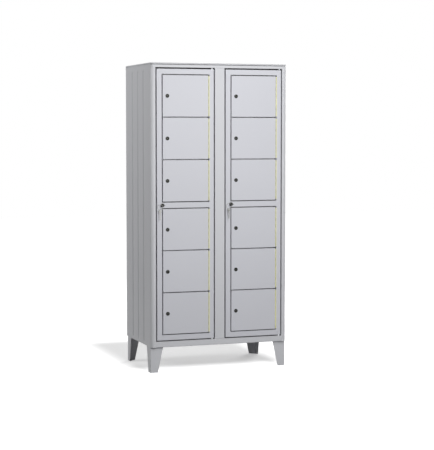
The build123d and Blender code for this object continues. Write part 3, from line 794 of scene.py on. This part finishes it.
def joined(name, pieces):
    """Several meshes as one object. Each keeps its own materials."""
    shape = bmesh.new()
    mesh = bpy.data.meshes.new(name)
    for piece in pieces:
        part = piece.data.copy()
        first_slot = len(mesh.materials)
        for material in part.materials:
            mesh.materials.append(material)
        for polygon in part.polygons:
            polygon.material_index += first_slot
        shape.from_mesh(part)
        bpy.data.meshes.remove(part)
        bpy.data.objects.remove(piece)
    shape.to_mesh(mesh)
    shape.free()
    return mesh_object(name, mesh)


print("a rounded corner takes", len(corner(0.0, 0.0, 1.0, 0, 90)), "points")

# %% [markdown]
# The split ring is flat wire wound twice, with a short step where the wire crosses from one turn to the
# next. A spiral with no height gives the two turns, and a smooth step along its length lifts the second
# beside the first.

# %% Split ring's path
ring_tree = new_group(
    "split_ring",
    [
        ("Radius", "NodeSocketFloat", 0.016),
        ("Wire Width", "NodeSocketFloat", 0.0015),
        ("Wire Thickness", "NodeSocketFloat", 0.00086),
        ("Step Part", "NodeSocketFloat", 0.04),
        ("Centre", "NodeSocketVector", (0.0, 0.0, 0.0)),
        ("Finish", "NodeSocketMaterial", None),
    ],
    [("Geometry", "NodeSocketGeometry")],
    "GeometryNodeTree",
)
group_in = put(ring_tree, "NodeGroupInput")
group_out = put(ring_tree, "NodeGroupOutput")
given = group_in.outputs
spiral = put(
    ring_tree,
    "GeometryNodeCurveSpiral",
    {
        "Resolution": 48,
        "Rotations": maths(ring_tree, "SUBTRACT", 2.0, given["Step Part"]),
        "Start Radius": given["Radius"],
        "End Radius": given["Radius"],
        "Height": 0.0,
    },
)
along = put(ring_tree, "GeometryNodeSplineParameter").outputs["Factor"]
step_from = maths(ring_tree, "MULTIPLY_ADD", given["Step Part"], -0.5, 0.5)
step_to = maths(ring_tree, "MULTIPLY_ADD", given["Step Part"], 0.5, 0.5)
crossing = put(
    ring_tree,
    "ShaderNodeMapRange",
    {"Value": along, "From Min": step_from, "From Max": step_to, "To Min": -0.5, "To Max": 0.5},
    interpolation_type="SMOOTHSTEP",
)
lift = maths(ring_tree, "MULTIPLY", crossing.outputs[0], given["Wire Thickness"])
shift = put(ring_tree, "ShaderNodeCombineXYZ", {"Z": lift}).outputs[0]
stepped = put(ring_tree, "GeometryNodeSetPosition", {"Geometry": spiral.outputs[0], "Offset": shift})
print("path", len(ring_tree.nodes), "nodes")

# %% [markdown]
# A flat profile with rounded corners follows that path. The ring is then stood upright and moved to its
# place on the key.

# %% Split ring's wire
upright = put(ring_tree, "GeometryNodeSetCurveNormal", {"Curve": stepped.outputs[0]}, mode="Z_UP")
flat_wire = put(
    ring_tree,
    "GeometryNodeCurvePrimitiveQuadrilateral",
    {"Width": given["Wire Width"], "Height": given["Wire Thickness"]},
)
corner_radius = maths(ring_tree, "MULTIPLY", given["Wire Thickness"], 0.3)
rounded_wire = put(
    ring_tree,
    "GeometryNodeFilletCurve",
    {"Curve": flat_wire.outputs[0], "Radius": corner_radius, "Count": 2},
    mode="POLY",
)
wire = put(
    ring_tree,
    "GeometryNodeCurveToMesh",
    {"Curve": upright.outputs[0], "Profile Curve": rounded_wire.outputs[0], "Fill Caps": True},
)
stood = put(
    ring_tree,
    "GeometryNodeTransform",
    {"Geometry": wire.outputs[0], "Translation": given["Centre"], "Rotation": FACING_FRONT},
)
real = put(ring_tree, "GeometryNodeRealizeInstances", {"Geometry": stood.outputs[0]})
coated = put(ring_tree, "GeometryNodeSetMaterial", {"Geometry": real.outputs[0], "Material": given["Finish"]})
ring_tree.links.new(coated.outputs[0], group_out.inputs["Geometry"])
print("tree", ring_tree.name, len(ring_tree.nodes), "nodes")

# %% [markdown]
# The key in each service lock has a moulded black grip on a flat steel blade. The grip is a rounded
# plate with a hole at its edge for the ring, and raised ribs where the fingers hold it. It is drawn as
# seen from above, with its root towards the lock.

# %% Key's grip
BOW_WIDTH = 0.022
BOW_LENGTH = 0.020
BOW_PLATE = 0.0026
BOW_FULL = 0.0030
BOW_EDGE = 0.0006
BOW_ROOT = 0.0070
BOW_END_CORNER = 0.007
BOW_ROOT_CORNER = 0.0025
HOLE_RADIUS = 0.0026
HOLE_WALL = 0.0016
HOLE_X = -BOW_WIDTH / 2 + HOLE_WALL + HOLE_RADIUS
HOLE_REACH = 0.013


def bow_outline():
    """The grip seen from above: x across it, and y from its root towards its end."""
    half = BOW_WIDTH / 2
    far = BOW_LENGTH - BOW_END_CORNER
    points = corner(half - BOW_ROOT_CORNER, BOW_ROOT_CORNER, BOW_ROOT_CORNER, -90, 0)
    points += corner(half - BOW_END_CORNER, far, BOW_END_CORNER, 0, 90)
    points += corner(-half + BOW_END_CORNER, far, BOW_END_CORNER, 90, 180)
    points += corner(-half + BOW_ROOT_CORNER, BOW_ROOT_CORNER, BOW_ROOT_CORNER, 180, 270)
    return points


print("grip", len(bow_outline()), "points")

# %% [markdown]
# The ribs stand a little proud of both faces of the grip. One bar with round ends is cut from plate, and
# the tree for rows sets five of it along the grip, and five more on the other face.

# %% Grip's ribs
RIBS = 5
RIB_STEP = 0.0021
RIB_LENGTH = 0.0110
RIB_WIDTH = 0.0009
RIB_EDGE = 0.00015
RIB_SINK = 0.0001
FIRST_RIB = (0.0022, 0.0052)


def slot_outline(length, thickness):
    """A bar with round ends, along x and centred."""
    radius = thickness / 2
    reach = length / 2 - radius
    return corner(reach, 0.0, radius, -90, 90) + corner(-reach, 0.0, radius, 90, 270)


def grip_ribs(place):
    """The ribs on both faces of a grip that lies at the given place."""
    turned = place.to_3x3().to_4x4()
    thickness = BOW_FULL - BOW_PLATE + 2 * RIB_SINK
    outline = slot_outline(RIB_LENGTH, RIB_WIDTH)
    bar = plate("rib_bar", [outline], thickness, RIB_EDGE, turned, finish["key_grip"])
    level = BOW_PLATE / 2 - RIB_SINK
    ribs = grown(
        "ribs",
        rows,
        {
            "Part": bar,
            "Start": place @ Vector((*FIRST_RIB, -level)),
            "Count 1": RIBS,
            "Step 1": turned @ Vector((0.0, RIB_STEP, 0.0)),
            "Count 2": 2,
            "Step 2": turned @ Vector((0.0, 0.0, 2 * level)),
            "Finish": finish["key_grip"],
        },
    )
    bpy.data.objects.remove(bar)
    return ribs


print(RIBS, "ribs on each face")

# %% [markdown]
# Only a short shoulder of the blade shows, because the rest is in the lock. The grip, its ribs, the blade
# and the ring become one piece, which turns with the lock. Each keeps its own material.

# %% Keys in the service locks
BLADE_WIDTH = 0.0056
BLADE_SHEET = 0.0012
BLADE_EDGE = 0.0001
BLADE_IN_GRIP = 0.001
BLADE_INSIDE = 0.011
LOCK_FRONT = 0.0052
for side in SIDES:
    lock_place = joint_place[f"service_lock_{side}_turn"]
    ring_centre = joint_place[f"spare_key_{side}_slip"]
    # plate axes: x stays, y points out of the lock, z down
    outward = Matrix(
        (
            (1, 0, 0, lock_place.x),
            (0, -1, 0, lock_place.y - BOW_ROOT),
            (0, 0, -1, lock_place.z),
            (0, 0, 0, 1),
        )
    )
    hole = round_hole(HOLE_X, HOLE_REACH, HOLE_RADIUS)
    grip = plate("grip", [bow_outline(), hole], BOW_PLATE, BOW_EDGE, outward, finish["key_grip"])
    ribs = grip_ribs(outward)
    strip = rectangle(BLADE_WIDTH / 2, -BOW_ROOT + LOCK_FRONT - BLADE_INSIDE, BLADE_IN_GRIP)
    blade = plate("blade", [strip], BLADE_SHEET, BLADE_EDGE, outward, finish["key_metal"])
    ring = grown("ring", ring_tree, {"Centre": ring_centre, "Finish": ring_steel})
    key = joined(f"key_in_lock_{side}", [grip, ribs, blade, ring])
    fit(key, f"service_lock_turn_{side}", "key_grip", f"service_key_{side}")

# %% [markdown]
# The spare key hangs from the ring by the hole in its round bow. Its blade has a shoulder that stops it
# in the lock, five cuts of different depths and a pointed tip. One outline draws them all.

# %% Spare key's outline
SPARE_BOW = 0.010
SPARE_BLADE = 0.0070
SPARE_NECK = 0.0092
NECK_CHAMFER = (0.0004, 0.0006)
SHOULDER_DOWN = 0.0225
TIP_BACK = (0.0016, 0.0035)
TIP_FRONT = (0.0036, 0.0040)
FIRST_LAND = 0.0006
CUT_DEPTHS = (0.0016, 0.0026, 0.0010, 0.0022, 0.0014)
CUT_STEPS = (0.0008, 0.0022, 0.0040)
CUT_PITCH = 0.0058


def spare_outline(length):
    """The key from its top centre at (0, 0) downwards, with its cuts on the right."""
    half = SPARE_BLADE / 2
    neck = SPARE_NECK / 2
    chamfer_x, chamfer_y = NECK_CHAMFER
    points = corner(0.0, -SPARE_BOW, SPARE_BOW, -62, 242, 30)
    points += [(-neck, -SHOULDER_DOWN + chamfer_y), (-neck + chamfer_x, -SHOULDER_DOWN)]
    points += [(-half, -SHOULDER_DOWN)]
    points += [(-half, -length + TIP_BACK[1]), (-half + TIP_BACK[0], -length), (half - TIP_FRONT[0], -length)]
    level = -length + TIP_FRONT[1]
    points += [(half - FIRST_LAND, level)]
    for depth in CUT_DEPTHS:
        start, bottom, end = [level + step for step in CUT_STEPS]
        points += [(half, start), (half - depth, bottom), (half - depth, end)]
        level += CUT_PITCH
    points += [(half, level), (half, -SHOULDER_DOWN), (neck - chamfer_x, -SHOULDER_DOWN)]
    points += [(neck, -SHOULDER_DOWN + chamfer_y)]
    return points


print("outline of", len(spare_outline(0.0)), "points")

# %% [markdown]
# A milled groove runs along each side of the spare key's blade. It is cut with a Boolean, as a milling
# cutter would. The key hangs turned a little about the upright line through its hole.

# %% Spare keys
SPARE_SHEET = 0.0020
SPARE_EDGE = 0.00025
SPARE_HOLE_DOWN = 0.0055
SPARE_HOLE = 0.0032
SPARE_TWIST = radians(30.0)
GROOVE_X = -0.0009
GROOVE_WIDTH = 0.0013
GROOVE_DEPTH = 0.0005
GROOVE_EDGE = 0.0001
# the groove is drawn from a level below the shoulder, up to just under it and down past the tip
GROOVE_LEVEL = 0.022
GROOVE_UP = 0.0215
GROOVE_DOWN = 0.030


def milled(piece, place):
    """The piece with a groove along both faces of its blade."""
    groove = rectangle(GROOVE_WIDTH / 2, -GROOVE_DOWN, GROOVE_UP)
    for face in (-1, 1):
        lift = Matrix.Translation((GROOVE_X, -SHOULDER_DOWN - GROOVE_LEVEL, face * SPARE_SHEET / 2))
        cutter = plate("cutter", [groove], 2 * GROOVE_DEPTH, GROOVE_EDGE, place @ lift, finish["key_metal"])
        cut = piece.modifiers.new("groove", "BOOLEAN")
        cut.operation = "DIFFERENCE"
        cut.object = cutter
        piece = settle(piece)
        bpy.data.objects.remove(cutter)
    return piece


for side in SIDES:
    low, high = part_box(f"spare_key_{side}")
    ring_centre = joint_place[f"spare_key_{side}_slip"]
    hang = Matrix(
        (
            (-sin(SPARE_TWIST), 0, cos(SPARE_TWIST), ring_centre.x),
            (cos(SPARE_TWIST), 0, sin(SPARE_TWIST), ring_centre.y),
            (0, 1, 0, high.z),
            (0, 0, 0, 1),
        )
    )
    outlines = [spare_outline(high.z - low.z), round_hole(0.0, -SPARE_HOLE_DOWN, SPARE_HOLE)]
    blank = plate(f"blank_{side}", outlines, SPARE_SHEET, SPARE_EDGE, hang, finish["key_metal"])
    spare = milled(blank, hang)
    spare.name = f"spare_key_cut_{side}"
    fit(spare, f"spare_key_{side}", "key_metal", f"spare_key_{side}")

# %% [markdown]
# The Light Path node tells what kind of ray looks at a surface. With it, the floor and the room can be
# white to the camera and in reflections, and still not light the cabinet. The floor also needs to know
# how far a point lies outside a rectangle, because it glows less inside it, as a painted shadow.


# %% Helpers for the floor and the room
def seen_directly(tree):
    """1 where a camera, glossy or transmission ray looks, and 0 for all other rays."""
    rays = put(tree, "ShaderNodeLightPath").outputs
    first = maths(tree, "MAXIMUM", rays["Is Camera Ray"], rays["Is Glossy Ray"])
    return maths(tree, "MAXIMUM", first, rays["Is Transmission Ray"])


def distance_outside(tree, low, high):
    """How far a point on the floor lies outside the rectangle between two corners."""
    middle = ((low[0] + high[0]) / 2, (low[1] + high[1]) / 2, 0.0)
    half_size = ((high[0] - low[0]) / 2, (high[1] - low[1]) / 2, 0.0)
    steps = (
        ("SUBTRACT", middle),
        ("ABSOLUTE", None),
        ("SUBTRACT", half_size),
        ("MAXIMUM", (0.0, 0.0, 0.0)),
        ("LENGTH", None),
    )
    offset = put(tree, "ShaderNodeTexCoord").outputs["Object"]
    for operation, other in steps:
        step = put(tree, "ShaderNodeVectorMath", {0: offset}, operation=operation)
        if other:
            step.inputs[1].default_value = other
        offset = step.outputs["Value" if operation == "LENGTH" else "Vector"]
    return offset


# %% [markdown]
# The floor is a wide pale sheet. To the camera and in reflections it also glows, fully from a step away
# and less in a rectangle under and behind the cabinet. The lower glow there is a painted shadow, and the
# lamps' own shadow round the feet shows in it too, while the rest fades into the white room. All other rays
# see a darker floor without glow, so it throws little light up at the cabinet. A backdrop curve could hide
# the horizon as well, but it would stand in the way of other views.

# %% Floor
FLOOR_HALF = 14.0
FLOOR_ROUGHNESS = 0.9
FLOOR_SEEN = (0.85, 0.85, 0.85, 1.0)
FLOOR_BOUNCE = (0.36, 0.36, 0.36, 1.0)
GLOW_IN_PAINTED_SHADOW = 0.40
GLOW_FAR = 1.0
GLOW_FULL = 0.22
SHADE_LOW = (-0.40, 0.02)
SHADE_HIGH = (0.38, 0.90)
WHITE = (1.0, 1.0, 1.0, 1.0)

floor_sheet, tree, shader = new_material("floor_sheet")
shader.inputs["Roughness"].default_value = FLOOR_ROUGHNESS
shader.inputs["Specular IOR Level"].default_value = 0.0
shader.inputs["Emission Color"].default_value = WHITE
seen = seen_directly(tree)
tree.links.new(blend_colour(tree, seen, FLOOR_BOUNCE, FLOOR_SEEN), shader.inputs["Base Color"])
# the lower glow in the rectangle is a painted shadow under and behind the cabinet
fade = put(
    tree,
    "ShaderNodeMapRange",
    {
        "Value": distance_outside(tree, SHADE_LOW, SHADE_HIGH),
        "From Max": GLOW_FULL,
        "To Min": GLOW_IN_PAINTED_SHADOW,
        "To Max": GLOW_FAR,
    },
    interpolation_type="SMOOTHSTEP",
)
tree.links.new(maths(tree, "MULTIPLY", seen, fade.outputs["Result"]), shader.inputs["Emission Strength"])
floor_mesh = bpy.data.meshes.new("floor")
edge_points = rectangle(FLOOR_HALF, -FLOOR_HALF, FLOOR_HALF)
floor_mesh.from_pydata([(x, y, 0.0) for x, y in edge_points], [], [(0, 1, 2, 3)])
floor_mesh.materials.append(floor_sheet)
floor = mesh_object("floor", floor_mesh)
print("floor", 2 * FLOOR_HALF, "m wide")

# %% [markdown]
# The light is that of a plain studio with soft square lamps. The main one stands in front at the height
# of the cabinet's head, with a weaker one above it, so the light falls off towards the feet. One lights
# the left side, and one behind keeps the back and the right side readable. The room itself glows only
# faintly, so that gaps and the space under the cabinet stay dark. To the camera and in reflections it is
# white.

# %% Light
ROOM_LIGHT = 0.08
# each lamp's power, size, place and target
LAMPS = {
    "front_lamp": (56.6, 1.2, (0.1, -3.2, 1.7), (0.0, 0.0, 1.4)),
    "high_lamp": (18.0, 1.2, (0.4, -2.2, 2.5), (0.0, 0.0, 1.6)),
    "side_lamp": (27.0, 1.6, (-2.6, 0.6, 2.3), (0.0, 0.0, 1.5)),
    "back_lamp": (60.0, 1.6, (2.4, 3.0, 1.9), (0.0, 0.0, 1.0)),
}

room = bpy.data.worlds.new("room")
room.use_nodes = True
tree = room.node_tree
background = tree.nodes["Background"]
background.inputs["Color"].default_value = WHITE
tree.links.new(between(tree, seen_directly(tree), ROOM_LIGHT, 1.0), background.inputs["Strength"])
bpy.context.scene.world = room

for name, (power, size, place, target) in LAMPS.items():
    lamp_data = bpy.data.lights.new(name, "AREA")
    lamp_data.shape = "SQUARE"
    lamp_data.size = size
    lamp_data.energy = power
    lamp = bpy.data.objects.new(name, lamp_data)
    lamp.location = place
    lamp.rotation_euler = (Vector(target) - Vector(place)).to_track_quat("-Z", "Y").to_euler()
    bpy.context.scene.collection.objects.link(lamp)
    print(name, power, "W")
bpy.context.scene.view_settings.view_transform = "Standard"
